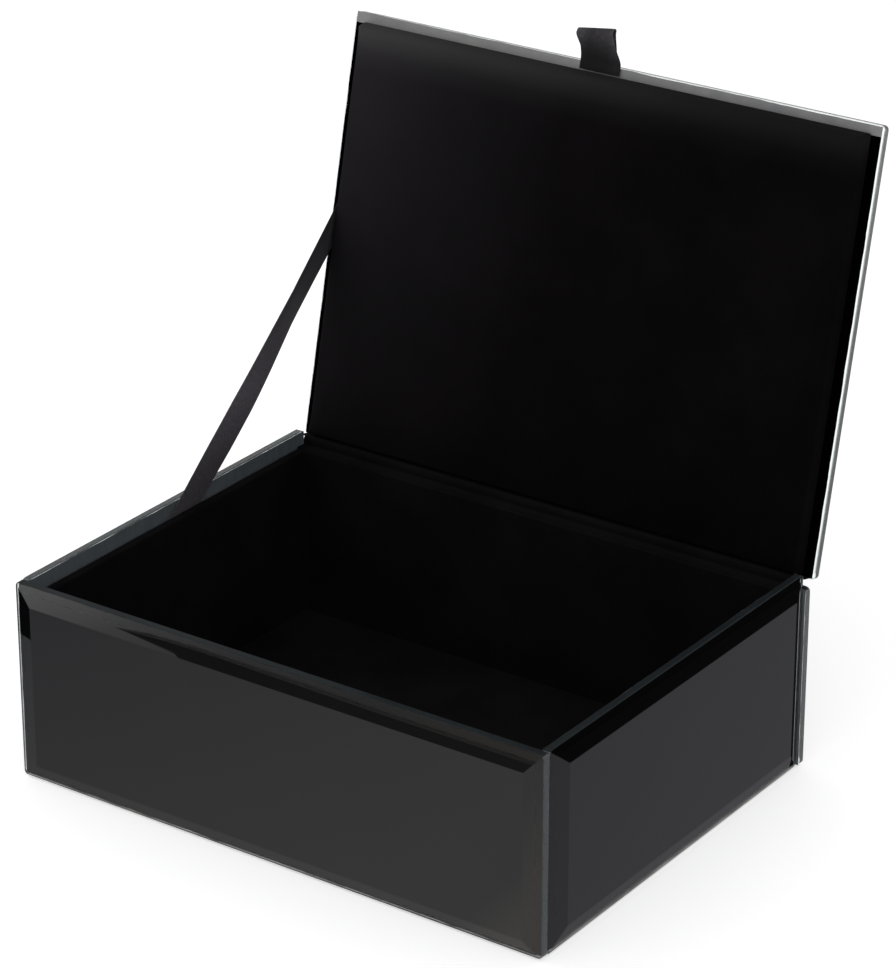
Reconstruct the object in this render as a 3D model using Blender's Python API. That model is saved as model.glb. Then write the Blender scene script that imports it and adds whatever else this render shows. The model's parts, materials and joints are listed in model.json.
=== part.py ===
"""Glass trinket box with a hinged, padded lid.

Metres, +Z up. The origin is the centre of the felt's underside. The front of the box faces -Y, and
the hinge runs along X at the back. The lid is modelled where it stands open, held by its ribbon stay.
Each glass panel is bevelled on its outer face, so its middle stands proud of its rim.
"""
import math

import bmesh
import bpy
from mathutils import Matrix, Vector

MM = 0.001

# Overall sizes
BOX_WIDTH = 200 * MM          # across the front panel
BOX_DEPTH = 150 * MM          # front rim to back rim
PANEL_HEIGHT = 68.5 * MM      # front and side panels
OPEN_ANGLE = math.radians(102.8)

# Glass
RIM = 2.6 * MM                # thickness at the edge
BEVEL_WIDTH = 8 * MM
BEVEL_DEPTH = 1.0 * MM        # how far the middle stands proud of the rim
ARRIS = 0.3 * MM              # chamfer of the ground edges
CORNER_RADIUS = 1.8 * MM
SIDE_INSET = 0.3 * MM         # side rims behind the ends of the front panel
BACK_OVERHANG = 0.8 * MM      # how far each end of the back panel passes the front panel's
BACK_TOP_SET = 0.3 * MM       # back panel's top below the top of the linings
LID_OVERHANG = 0.8 * MM       # how far each end of the lid passes the front panel's
LID_BACK_INSET = 4.0 * MM     # the closed lid's hinge edge in front of the back rim

# Boards, linings and felt
GAP = 0.3 * MM                # between pieces that are glued or rest on each other
FELT = 1.0 * MM
FELT_MARGIN = 3 * MM          # felt's edge behind the boards' outer faces
GLASS_FOOT = 0.6 * MM         # panels' lower edges above the table
BOARD = 2.4 * MM
BACK_BOARD = 4.0 * MM
BASE_BOARD = 2.0 * MM
LINING = 0.7 * MM
FLOOR_LINING = 0.9 * MM
LINING_DROP = 5.0 * MM        # top of the linings below the panels' tops

# Hinge
PIVOT_RISE = 0.9 * MM         # hinge axis above the top of the linings
PIVOT_INSET = 2.8 * MM        # hinge axis in front of the back rim
CLOTH = 0.4 * MM
CLOTH_END_INSET = 9 * MM      # cloth's ends from the inner faces of the side panels

# Lid's padded panel
REST_GAP = 0.8 * MM           # the closed lid lies on the flattened pull tab
PAD_TOP_CLEARANCE = 0.3 * MM  # to the top of the linings when closed
PAD_SIDE_CLEARANCE = 0.3 * MM # to the side panels' inner faces when closed
PAD_FRONT_MARGIN = 3.0 * MM   # to the plate's front edge
PAD_BACK_MARGIN = 1.0 * MM    # to the plate's hinge edge
PAD_CORNER = 2.0 * MM
COVER = 0.7 * MM
LID_BOARD = 1.5 * MM

# Ribbons
STAY_WIDTH = 12.2 * MM
STAY_THICKNESS = 0.4 * MM
STAY_Y = 6.6 * MM             # middle of its foot, behind the middle of the box
STAY_ALONG = 77 * MM          # middle of its head, from the plate's hinge edge
TAB_WIDTH = 15 * MM
TAB_THICKNESS = 0.3 * MM
TAB_PROUD = 11.3 * MM         # beyond the plate's front edge
TAB_OFFSET = -4.5 * MM        # left of the lid's middle
TAB_LOOP = 3.4 * MM           # widest part of the loop, outside to outside
TAB_FOLD_GAP = 0.15 * MM      # between its two layers where they lie flat

ARC_STEPS = 6                 # segments in a quarter circle
SMOOTH_BELOW = math.radians(20)

# Faces and levels that follow from the sizes above
PANEL_TOP = GLASS_FOOT + PANEL_HEIGHT
SIDE_INNER_X = BOX_WIDTH / 2 - SIDE_INSET - RIM
END_INNER_Y = BOX_DEPTH / 2 - RIM
BASE_BOTTOM = FELT + GAP
BASE_TOP = BASE_BOTTOM + BASE_BOARD
WALL_BOTTOM = BASE_TOP + GAP
LINING_TOP = PANEL_TOP - LINING_DROP
BACK_LINING_TOP = LINING_TOP - CLOTH - GAP
SIDE_LINING_X = SIDE_INNER_X - BOARD - 2 * GAP
FRONT_LINING_Y = END_INNER_Y - BOARD - 2 * GAP
BACK_LINING_Y = END_INNER_Y - BACK_BOARD - 2 * GAP
SIDE_FRONT_Y = -FRONT_LINING_Y + LINING + GAP   # the side boards' and linings' ends
SIDE_BACK_Y = BACK_LINING_Y - LINING - GAP
BACK_TOP = LINING_TOP - BACK_TOP_SET
HINGE = Vector((0, BOX_DEPTH / 2 - PIVOT_INSET, LINING_TOP + PIVOT_RISE))

# The lid's own levels, as it lies closed
PLATE_BOTTOM = PANEL_TOP + REST_GAP
PLATE_FRONT = -BOX_DEPTH / 2
PLATE_BACK = BOX_DEPTH / 2 - LID_BACK_INSET
PAD_HALF = SIDE_INNER_X - PAD_SIDE_CLEARANCE
PAD_FRONT = PLATE_FRONT + PAD_FRONT_MARGIN
PAD_BACK = PLATE_BACK - PAD_BACK_MARGIN
PAD_FACE = LINING_TOP + PAD_TOP_CLEARANCE


def material(name, colour, roughness, metallic=0.0):
    """A Principled material of one colour."""
    made = bpy.data.materials.new(name)
    made.use_nodes = True
    shader = made.node_tree.nodes["Principled BSDF"]
    shader.inputs["Base Color"].default_value = (*colour, 1)
    shader.inputs["Roughness"].default_value = roughness
    shader.inputs["Metallic"].default_value = metallic
    return made


def add(name, bm, made):
    """Put a bmesh into the scene as one object."""
    bmesh.ops.recalc_face_normals(bm, faces=bm.faces)
    mesh = bpy.data.meshes.new(name)
    bm.to_mesh(mesh)
    bm.free()
    mesh.shade_smooth()
    mesh.set_sharp_from_angle(angle=SMOOTH_BELOW)
    mesh.materials.append(made)
    piece = bpy.data.objects.new(name, mesh)
    bpy.context.collection.objects.link(piece)
    return piece


def rounded_rectangle(low, high, radius):
    """Outline points from the lower right corner's arc on, anticlockwise."""
    centres = [(high[0], low[1]), (high[0], high[1]), (low[0], high[1]), (low[0], low[1])]
    points = []
    for corner, (x, y) in enumerate(centres):
        cx = x - radius if x == high[0] else x + radius
        cy = y - radius if y == high[1] else y + radius
        for step in range(ARC_STEPS + 1):
            angle = math.radians(90) * (corner - 1 + step / ARC_STEPS)
            points.append((cx + radius * math.cos(angle), cy + radius * math.sin(angle)))
    return points


def bridge(bm, lower, upper):
    """Join two rings of as many vertices each."""
    count = len(lower)
    for index in range(count):
        after = (index + 1) % count
        bm.faces.new((lower[index], lower[after], upper[after], upper[index]))


def bevelled_panel(name, width, height, made):
    """Panel in its own XY plane: flat inner face at z = 0, bevelled outer face towards +Z."""
    half = (width / 2, height / 2)

    def ring(inset, level):
        """Rounded outline, inset, at the level that a rule gives for each point."""
        low = (-half[0] + inset, -half[1] + inset)
        high = (half[0] - inset, half[1] - inset)
        outline = rounded_rectangle(low, high, CORNER_RADIUS - inset)
        return [bm.verts.new((x, y, level(x, y))) for x, y in outline]

    def bevel_level(x, y):
        """Height of the bevel's slope over a point of the outline."""
        from_edge = min(half[0] - abs(x), half[1] - abs(y))
        return RIM + BEVEL_DEPTH * from_edge / BEVEL_WIDTH

    bm = bmesh.new()
    inner = ring(ARRIS, lambda x, y: 0)
    rim_low = ring(0, lambda x, y: ARRIS)
    rim_high = ring(0, lambda x, y: bevel_level(x, y) - ARRIS)
    slope = ring(ARRIS, bevel_level)
    for lower, upper in ((inner, rim_low), (rim_low, rim_high), (rim_high, slope)):
        bridge(bm, lower, upper)
    bm.faces.new(inner[::-1])
    flat_x = half[0] - BEVEL_WIDTH
    flat_y = half[1] - BEVEL_WIDTH
    corners = [(flat_x, -flat_y), (flat_x, flat_y), (-flat_x, flat_y), (-flat_x, -flat_y)]
    middle = [bm.verts.new((x, y, RIM + BEVEL_DEPTH)) for x, y in corners]
    bm.faces.new(middle)
    per_corner = ARC_STEPS + 1
    for corner in range(4):
        after = (corner + 1) % 4
        own_arc = slope[corner * per_corner + ARC_STEPS // 2:(corner + 1) * per_corner]
        next_arc = slope[after * per_corner:after * per_corner + ARC_STEPS // 2 + 1]
        bm.faces.new(own_arc + next_arc + [middle[after], middle[corner]])
    return add(name, bm, made)


def stand(piece, outward, centre):
    """Turn a panel's outer face to a level direction, with its inner face's middle at a point."""
    across = Vector((0, 0, 1)).cross(outward)
    turn = Matrix((across, Vector((0, 0, 1)), outward)).transposed()
    piece.matrix_world = Matrix.Translation(centre) @ turn.to_4x4()


def block(name, low, high, made):
    """Plain board between two corners."""
    bm = bmesh.new()
    bmesh.ops.create_cube(bm, size=1)
    for vert in bm.verts:
        vert.co = [high[axis] if vert.co[axis] > 0 else low[axis] for axis in range(3)]
    return add(name, bm, made)


def extrusion(name, section, ends, made):
    """Section drawn in the YZ plane, drawn out along X between two ends."""
    bm = bmesh.new()
    rings = [[bm.verts.new((x, y, z)) for y, z in section] for x in ends]
    bridge(bm, *rings)
    bm.faces.new(rings[0][::-1])
    bm.faces.new(rings[1])
    return add(name, bm, made)


def strip_outline(path, thickness):
    """Closed section of a strip of constant thickness around an open path of (y, z) points."""
    sides = ([], [])
    for index, point in enumerate(path):
        before = path[max(index - 1, 0)]
        after = path[min(index + 1, len(path) - 1)]
        arrive = (Vector(point) - Vector(before)).normalized() if index else None
        leave = (Vector(after) - Vector(point)).normalized() if index < len(path) - 1 else None
        along = ((arrive or leave) + (leave or arrive)).normalized()
        normal = Vector((-along.y, along.x))
        stretch = along.dot(leave or arrive)
        for side, sign in zip(sides, (1, -1)):
            side.append(tuple(Vector(point) + normal * sign * thickness / 2 / stretch))
    return sides[0] + sides[1][::-1]


def opened(y, z):
    """Where a point of the closed lid goes when the lid stands open."""
    arm_y, arm_z = y - HINGE.y, z - HINGE.z
    cos, sin = math.cos(OPEN_ANGLE), math.sin(OPEN_ANGLE)
    return (HINGE.y + arm_y * cos + arm_z * sin, HINGE.z - arm_y * sin + arm_z * cos)


def open_lid(piece):
    """Swing a piece of the closed lid open about the hinge, its origin on the axis."""
    piece.data.transform(Matrix.Translation(-HINGE) @ piece.matrix_world)
    piece.matrix_world = Matrix.Translation(HINGE) @ Matrix.Rotation(-OPEN_ANGLE, 4, "X")
    return piece


def build_glass(made):
    """Four walls: the front and back panels cover the ends of the side panels."""
    middle_z = GLASS_FOOT + PANEL_HEIGHT / 2
    front = bevelled_panel("front_glass", BOX_WIDTH, PANEL_HEIGHT, made)
    stand(front, Vector((0, -1, 0)), (0, -END_INNER_Y, middle_z))
    back = bevelled_panel("back_glass", BOX_WIDTH + 2 * BACK_OVERHANG, BACK_TOP - GLASS_FOOT, made)
    stand(back, Vector((0, 1, 0)), (0, END_INNER_Y, (BACK_TOP + GLASS_FOOT) / 2))
    for name, side in (("left_glass", -1), ("right_glass", 1)):
        panel = bevelled_panel(name, 2 * (END_INNER_Y - GAP), PANEL_HEIGHT, made)
        stand(panel, Vector((side, 0, 0)), (side * SIDE_INNER_X, 0, middle_z))


def build_boards(made, felt):
    """Board carcass inside the glass, and the felt under it."""
    side_x = SIDE_INNER_X - GAP
    end_y = END_INNER_Y - GAP
    top = LINING_TOP - LINING - GAP
    back_top = BACK_LINING_TOP - LINING - GAP
    block("front_board", (-side_x, -end_y, WALL_BOTTOM), (side_x, -end_y + BOARD, top), made)
    block("back_board", (-side_x, end_y - BACK_BOARD, WALL_BOTTOM), (side_x, end_y, back_top), made)
    block("left_board", (-side_x, SIDE_FRONT_Y, WALL_BOTTOM), (-side_x + BOARD, SIDE_BACK_Y, top), made)
    block("right_board", (side_x - BOARD, SIDE_FRONT_Y, WALL_BOTTOM), (side_x, SIDE_BACK_Y, top), made)
    block("base_board", (-side_x, -end_y, BASE_BOTTOM), (side_x, end_y, BASE_TOP), made)
    block("base_felt", (-side_x + FELT_MARGIN, -end_y + FELT_MARGIN, 0),
          (side_x - FELT_MARGIN, end_y - FELT_MARGIN, FELT), felt)


def lining_section(inner, outer, top):
    """Angle section of a lining: down the board's inner face, and over its top edge."""
    facing = 1 if outer > inner else -1
    return [(inner, WALL_BOTTOM), (inner, top), (outer, top), (outer, top - LINING),
            (inner + facing * LINING, top - LINING), (inner + facing * LINING, WALL_BOTTOM)]


def build_linings(made):
    """Velvet on the walls and the floor. The front and back linings run the full width."""
    side_x = SIDE_INNER_X - GAP
    end_y = END_INNER_Y - GAP
    front = lining_section(-FRONT_LINING_Y + LINING, -end_y, LINING_TOP)
    extrusion("front_lining", front, (-side_x, side_x), made)
    back = lining_section(BACK_LINING_Y - LINING, end_y, BACK_LINING_TOP)
    extrusion("back_lining", back, (-side_x, side_x), made)
    for name, side in (("left_lining", -1), ("right_lining", 1)):
        section = lining_section(SIDE_LINING_X - LINING, side_x, LINING_TOP)
        piece = extrusion(name, section, (SIDE_FRONT_Y, SIDE_BACK_Y), made)
        for vert in piece.data.vertices:
            along, across, z = vert.co
            vert.co = (side * across, along, z)
        if side > 0:
            piece.data.flip_normals()
    inner_x = SIDE_LINING_X - LINING - GAP
    block("floor_lining", (-inner_x, SIDE_FRONT_Y, WALL_BOTTOM),
          (inner_x, SIDE_BACK_Y, WALL_BOTTOM + FLOOR_LINING), made)


def build_hinge_cloth(made):
    """Cloth strip from the top of the back lining to the back of the lid's pad."""
    level = LINING_TOP - CLOTH / 2
    behind_pad = PAD_BACK + GAP + CLOTH / 2
    path = [(BACK_LINING_Y, level), (END_INNER_Y - 3 * GAP, level)]
    path += [opened(behind_pad, PAD_FACE + GAP), opened(behind_pad, PLATE_BOTTOM - GAP)]
    half = SIDE_INNER_X - CLOTH_END_INSET
    return extrusion("hinge_cloth", strip_outline(path, CLOTH), (-half, half), made)


def build_lid_plate(made):
    """Glass plate of the closed lid, bevelled on top."""
    width = BOX_WIDTH + 2 * LID_OVERHANG
    plate = bevelled_panel("lid_glass", width, PLATE_BACK - PLATE_FRONT, made)
    plate.matrix_world = Matrix.Translation((0, (PLATE_FRONT + PLATE_BACK) / 2, PLATE_BOTTOM))
    return open_lid(plate)


def build_pad(board, foam, cover):
    """Padded panel under the plate: card, foam, and a velvet cover open towards the plate."""
    plate = PLATE_BOTTOM - GAP

    def slab(name, inset, low, high, made):
        bm = bmesh.new()
        outline = rounded_rectangle((-PAD_HALF + inset, PAD_FRONT + inset),
                                    (PAD_HALF - inset, PAD_BACK - inset), PAD_CORNER - inset)
        rings = [[bm.verts.new((x, y, z)) for x, y in outline] for z in (low, high)]
        bridge(bm, *rings)
        bm.faces.new(rings[0][::-1])
        bm.faces.new(rings[1])
        return add(name, bm, made)

    card_bottom = plate - LID_BOARD
    slab("lid_board", COVER + GAP, card_bottom, plate, board)
    slab("lid_foam", COVER + GAP, PAD_FACE + COVER + GAP, card_bottom - GAP, foam)
    shell = slab("lid_cover", 0, PAD_FACE, plate, cover)
    hollow = slab("cover_cutter", COVER, PAD_FACE + COVER, plate + COVER, cover)
    hollow.hide_render = True
    hollow.display_type = "WIRE"
    cut = shell.modifiers.new("hollow", "BOOLEAN")
    cut.object = hollow
    cut.operation = "DIFFERENCE"
    for name in ("lid_board", "lid_foam", "lid_cover", "cover_cutter"):
        open_lid(bpy.data.objects[name])


def build_tab(made):
    """Ribbon loop at the front edge: two flat layers over the rim, then a rounded loop."""
    upper = PLATE_BOTTOM - GAP - TAB_THICKNESS / 2
    lower = upper - TAB_THICKNESS - TAB_FOLD_GAP
    middle = (upper + lower) / 2
    flat_end = -BOX_DEPTH / 2 - BEVEL_DEPTH
    reach = PLATE_FRONT - TAB_PROUD + TAB_THICKNESS / 2
    radius = (TAB_LOOP - TAB_THICKNESS) / 2
    turn = reach + radius
    path = [(PAD_FRONT - GAP, upper), (flat_end, upper)]
    for step in range(1, 2 * ARC_STEPS):
        angle = math.pi * (0.5 - step / (2 * ARC_STEPS))
        path.append((turn - radius * math.cos(angle), middle + radius * math.sin(angle)))
    path += [(flat_end, lower), (PAD_FRONT - GAP, lower)]
    ends = (TAB_OFFSET - TAB_WIDTH / 2, TAB_OFFSET + TAB_WIDTH / 2)
    return open_lid(extrusion("pull_tab", strip_outline(path, TAB_THICKNESS), ends, made))


def build_stay(made):
    """Ribbon from inside the left wall to the plate, beside the lid's pad."""
    foot = Vector((STAY_Y, LINING_TOP + GAP))
    head = Vector(opened(PLATE_BACK - STAY_ALONG, PLATE_BOTTOM - GAP))
    along = (head - foot).normalized()
    across = Vector((-along.y, along.x))
    half = across * STAY_WIDTH / 2

    def cut(normal):
        """Half of an end that is cut along a surface, over the lining or under the plate."""
        return half - along * half.dot(normal) / along.dot(normal)

    level = cut(Vector((0, 1)))
    leaning = cut(Vector((math.sin(OPEN_ANGLE), math.cos(OPEN_ANGLE))))
    outline = [foot + level, foot - level, head - leaning, head + leaning]
    foot_x = -SIDE_INNER_X + GAP
    head_x = -PAD_HALF - GAP - STAY_THICKNESS
    places = (foot_x, foot_x, head_x, head_x)
    bm = bmesh.new()
    rings = []
    for offset in (0, STAY_THICKNESS):
        rings.append([bm.verts.new((x + offset, p.x, p.y)) for x, p in zip(places, outline)])
    bridge(bm, *rings)
    bm.faces.new(rings[0][::-1])
    bm.faces.new(rings[1])
    return add("stay_ribbon", bm, made)


def main():
    for leftover in list(bpy.data.objects):
        bpy.data.objects.remove(leftover)
    glass = material("black_glass", (0.012, 0.013, 0.014), 0.03)
    velvet = material("black_velvet", (0.006, 0.006, 0.007), 0.95)
    ribbon = material("black_ribbon", (0.02, 0.02, 0.022), 0.5)
    board = material("board", (0.28, 0.22, 0.16), 0.85)
    foam = material("foam", (0.6, 0.6, 0.58), 0.9)
    felt = material("black_felt", (0.015, 0.015, 0.016), 0.98)
    build_glass(glass)
    build_boards(board, felt)
    build_linings(velvet)
    build_lid_plate(glass)
    build_pad(board, foam, velvet)
    build_hinge_cloth(velvet)
    build_tab(ribbon)
    build_stay(ribbon)


main()
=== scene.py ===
"""Looks of the glass trinket box: bevelled panels painted black behind, velvet and ribbon.

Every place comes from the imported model. The lid's pieces are made as the lid lies closed and are then
swung open with it, because their edges are level there.
"""
import json
import math

import bmesh
import bpy
import numpy as np
from mathutils import Matrix, Vector, noise


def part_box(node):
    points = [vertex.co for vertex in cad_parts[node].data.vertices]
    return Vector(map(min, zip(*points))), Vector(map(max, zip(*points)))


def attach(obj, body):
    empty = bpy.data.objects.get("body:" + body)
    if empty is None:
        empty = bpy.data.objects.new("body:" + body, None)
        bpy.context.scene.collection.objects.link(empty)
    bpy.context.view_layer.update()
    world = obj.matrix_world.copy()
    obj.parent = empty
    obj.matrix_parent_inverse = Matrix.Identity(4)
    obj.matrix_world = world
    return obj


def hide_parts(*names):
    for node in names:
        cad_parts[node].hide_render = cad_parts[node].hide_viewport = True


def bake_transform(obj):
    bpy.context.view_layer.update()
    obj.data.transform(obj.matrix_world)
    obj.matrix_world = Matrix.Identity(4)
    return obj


MM = 0.001

# Glass, as ground and painted
RIM = 2.6 * MM
CLEAR_SHARE = 0.4             # share of a bevel's width through which the glass is seen into
BEVEL_DEPTH = 1.0 * MM
ARRIS = 0.25 * MM
CORNER_RADIUS = 1.6 * MM
PAINT_DEPTH = 0.06 * MM       # paint film's front, inside the glass
PAINT_THICKNESS = 0.05 * MM
PAINT_MARGIN = 0.45 * MM
PAINT_WAVER = 0.12 * MM       # how far a film's edge strays
WALL_COAT_MARGIN = 0.3 * MM
LID_FRONT_MARGINS = (0.0 * MM, 0.45 * MM)      # at the left and the right end
LID_RIGHT_MARGIN = 0.95 * MM
LID_WAVER = 0.16 * MM
BACK_COAT_LEVELS = (-0.03 * MM, -0.005 * MM)   # behind the panel's inner face
GREY_COAT_LEVELS = (-0.06 * MM, -0.035 * MM)
GREY_UNDER_PAD = 0.6 * MM     # how far the grey coat runs in under the pad's edge
FILM_STEP = 1.5 * MM          # between the points of a film's edge
FILM_WAVES = (130, 700)       # long and short waves of that edge, per metre
FILM_FADE = 8                 # the waver is full from an eighth of a side on
ARC_STEPS = 8
POLISHED_SMOOTH_BELOW = 2     # degrees between faces
GROUND_SMOOTH_BELOW = 20
# TOP_EDGE and RIGHT_EDGE take ground glass painted darker than the other edges, as painted shade
CLEAR, GROUND, GLOSS, TOP_EDGE, RIGHT_EDGE = range(5)   # a panel's finishes

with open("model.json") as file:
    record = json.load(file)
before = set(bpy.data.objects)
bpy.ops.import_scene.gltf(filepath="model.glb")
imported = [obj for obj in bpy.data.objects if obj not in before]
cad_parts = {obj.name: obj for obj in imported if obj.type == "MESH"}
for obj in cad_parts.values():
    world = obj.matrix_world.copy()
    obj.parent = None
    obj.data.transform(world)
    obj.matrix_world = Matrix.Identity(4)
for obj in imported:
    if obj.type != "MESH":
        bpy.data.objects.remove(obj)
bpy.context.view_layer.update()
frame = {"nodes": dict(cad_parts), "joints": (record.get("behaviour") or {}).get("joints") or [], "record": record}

hinge_joint = frame["joints"][0]
HINGE = Vector(hinge_joint["pos_m"])
OPEN_ANGLE = math.radians(hinge_joint["range_deg"][1])
OPENED = Matrix.Translation(HINGE) @ Matrix.Rotation(-OPEN_ANGLE, 4, "X") @ Matrix.Translation(-HINGE)
CLOSED = OPENED.inverted()


def closed_box(node):
    """Lowest and highest corner of a lid's node, as it lies when the lid is closed."""
    points = np.array([CLOSED @ vert.co for vert in frame["nodes"][node].data.vertices])
    return Vector(points.min(0)), Vector(points.max(0))


# ---------------------------------------------------------------- materials

# Painted sheen on the pad's velvet: its colour is lightened towards the corner at the top left, as light falls
# there
PAINTED_SHEEN_SCALE = (7, 7, 3.4)     # the patch ends where the stretched distance reaches one
# Painted sheen in a band along the pad's front edge: where it lies in the pad's height, and how strong it is from
# left to right
EDGE_PAINTED_SHEEN_HEIGHT = [(0.9, 0.0), (0.94, 0.25), (0.985, 1.0)]      # share of the pad's height when open
EDGE_PAINTED_SHEEN_WIDTH = [(0.0, 0.027), (0.3, 0.019), (0.7, 0.0085), (1.0, 0.006)]
PAINTED_SHEEN_STOPS = [(0.0, (0.015, 0.0138, 0.0155)), (0.3, (0.0058, 0.0053, 0.006)),
                 (0.65, (0.0012, 0.001, 0.0012)), (1.0, (0.0, 0.0, 0.0))]


def shader_material(name):
    """A new node material: its Principled shader and its node tree."""
    made = bpy.data.materials.new(name)
    made.use_nodes = True
    tree = made.node_tree
    return made, tree.nodes["Principled BSDF"], tree


def settings(shader, **values):
    """Set a shader's own sockets; an underscore in a name stands for a space."""
    for name, value in values.items():
        socket = shader.inputs[name.replace("_", " ")]
        if socket.type == "RGBA" and len(value) == 3:
            value = (*value, 1)
        socket.default_value = value


def coordinates(tree, scale=(1, 1, 1), source="Object"):
    """Texture coordinates in metres, stretched by a scale."""
    coordinate = tree.nodes.new("ShaderNodeTexCoord")
    mapping = tree.nodes.new("ShaderNodeMapping")
    mapping.inputs["Scale"].default_value = scale
    tree.links.new(coordinate.outputs[source], mapping.inputs["Vector"])
    return mapping.outputs["Vector"]


def noise_value(tree, vector, scale, detail=3, roughness=0.5):
    """Noise of a number of waves per metre."""
    node = tree.nodes.new("ShaderNodeTexNoise")
    node.inputs["Scale"].default_value = scale
    node.inputs["Detail"].default_value = detail
    node.inputs["Roughness"].default_value = roughness
    tree.links.new(vector, node.inputs["Vector"])
    return node.outputs["Fac"]


def ramp(tree, value, stops):
    """Colour ramp of (place, colour) stops; a colour may be one grey number."""
    node = tree.nodes.new("ShaderNodeValToRGB")
    elements = node.color_ramp.elements
    while len(elements) < len(stops):
        elements.new(0.5)
    for element, (place, colour) in zip(elements, stops):
        element.position = place
        element.color = (*colour, 1) if hasattr(colour, "__len__") else (colour, colour, colour, 1)
    tree.links.new(value, node.inputs["Fac"])
    return node.outputs["Color"]


def mixed(tree, blend, first, second):
    """Two colours put together by a blend mode."""
    node = tree.nodes.new("ShaderNodeMix")
    node.data_type = "RGBA"
    node.blend_type = blend
    node.inputs["Factor"].default_value = 1
    tree.links.new(first, node.inputs["A"])
    tree.links.new(second, node.inputs["B"])
    return node.outputs["Result"]


def bump(tree, shader, height, strength, distance, after=None):
    """Bump on a shader's normal; after is an earlier bump's normal."""
    node = tree.nodes.new("ShaderNodeBump")
    node.inputs["Strength"].default_value = strength
    node.inputs["Distance"].default_value = distance
    tree.links.new(height, node.inputs["Height"])
    if after is not None:
        tree.links.new(after, node.inputs["Normal"])
    tree.links.new(node.outputs["Normal"], shader.inputs["Normal"])
    return node.outputs["Normal"]


def clear_glass():
    """Polished float glass, its tint a little uneven."""
    made, shader, tree = shader_material("clear_glass")
    settings(shader, Roughness=0.0, IOR=1.52, Transmission_Weight=1.0)
    cloud = noise_value(tree, coordinates(tree), 22, 2)
    tint = ramp(tree, cloud, [(0.3, (0.93, 0.98, 0.975)), (0.7, (0.96, 0.99, 0.985))])
    tree.links.new(tint, shader.inputs["Base Color"])
    return made


def ground_glass(name, dark, light, clearness=0.92):
    """Ground edge: frosted, with the glass's own green-blue showing."""
    made, shader, tree = shader_material(name)
    settings(shader, IOR=1.52, Transmission_Weight=clearness, Specular_IOR_Level=0.0)
    vector = coordinates(tree)
    grain = noise_value(tree, vector, 2600, 4, 0.7)
    tint = ramp(tree, noise_value(tree, vector, 60), [(0.3, dark), (0.7, light)])
    tree.links.new(tint, shader.inputs["Base Color"])
    tree.links.new(ramp(tree, grain, [(0.3, 0.22), (0.7, 0.4)]), shader.inputs["Roughness"])
    bump(tree, shader, grain, 0.25, 0.05 * MM)
    return made


def black_coat(name, dark, light, **finish):
    """Black paint, a little uneven, with the finish that it is seen with."""
    made, shader, tree = shader_material(name)
    settings(shader, **finish)
    cloud = noise_value(tree, coordinates(tree), 35, 4)
    tree.links.new(ramp(tree, cloud, [(0.3, dark), (0.7, light)]), shader.inputs["Base Color"])
    return made


def grey_backing(name, dark, light):
    """Grey coat behind the black paint, brushed thin in places."""
    made, shader, tree = shader_material(name)
    settings(shader, Roughness=0.55, Specular_IOR_Level=0.3)
    strokes = noise_value(tree, coordinates(tree, (1, 6, 1)), 90, 5, 0.65)
    tree.links.new(ramp(tree, strokes, [(0.3, dark), (0.7, light)]), shader.inputs["Base Color"])
    bump(tree, shader, strokes, 0.2, 0.05 * MM)
    return made


def velvet(name, base, sheen, painted_sheen_from=None):
    """Short black pile: uneven patches and a fine nap; it may get a painted sheen, lighter towards a place and
    along the pad's front edge.
    """
    made, shader, tree = shader_material(name)
    settings(shader, Roughness=0.95, Specular_IOR_Level=0.02, Sheen_Weight=sheen, Sheen_Roughness=0.4,
             Sheen_Tint=(0.8, 0.76, 0.85))
    vector = coordinates(tree)
    patches = noise_value(tree, vector, 28, 5, 0.6)
    pile = noise_value(tree, vector, 1500, 3, 0.6)
    colour = ramp(tree, patches, [(0.35, base), (0.7, [1.8 * value for value in base])])
    # Painted sheen: the base colour is lightened towards the given corner and along the pad's front edge
    if painted_sheen_from:
        stretch = tree.nodes.new("ShaderNodeMapping")
        stretch.inputs["Location"].default_value = [-place * scale for place, scale in
                                                    zip(painted_sheen_from, PAINTED_SHEEN_SCALE)]
        stretch.inputs["Scale"].default_value = PAINTED_SHEEN_SCALE
        tree.links.new(vector, stretch.inputs["Vector"])
        distance = tree.nodes.new("ShaderNodeVectorMath")
        distance.operation = "LENGTH"
        tree.links.new(stretch.outputs["Vector"], distance.inputs[0])
        painted_corner_sheen = ramp(tree, distance.outputs["Value"], PAINTED_SHEEN_STOPS)
        # Painted sheen band along the front edge, lighter towards the left end
        separate = tree.nodes.new("ShaderNodeSeparateXYZ")
        tree.links.new(coordinates(tree, source="Generated"), separate.inputs[0])
        along = ramp(tree, separate.outputs["X"], EDGE_PAINTED_SHEEN_WIDTH)
        edge = mixed(tree, "MULTIPLY", along, ramp(tree, separate.outputs["Z"], EDGE_PAINTED_SHEEN_HEIGHT))
        colour = mixed(tree, "ADD", mixed(tree, "ADD", colour, painted_corner_sheen), edge)
    tree.links.new(colour, shader.inputs["Base Color"])
    first = bump(tree, shader, patches, 0.25, 0.6 * MM)
    bump(tree, shader, pile, 0.6, 0.12 * MM, first)
    return made


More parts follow.
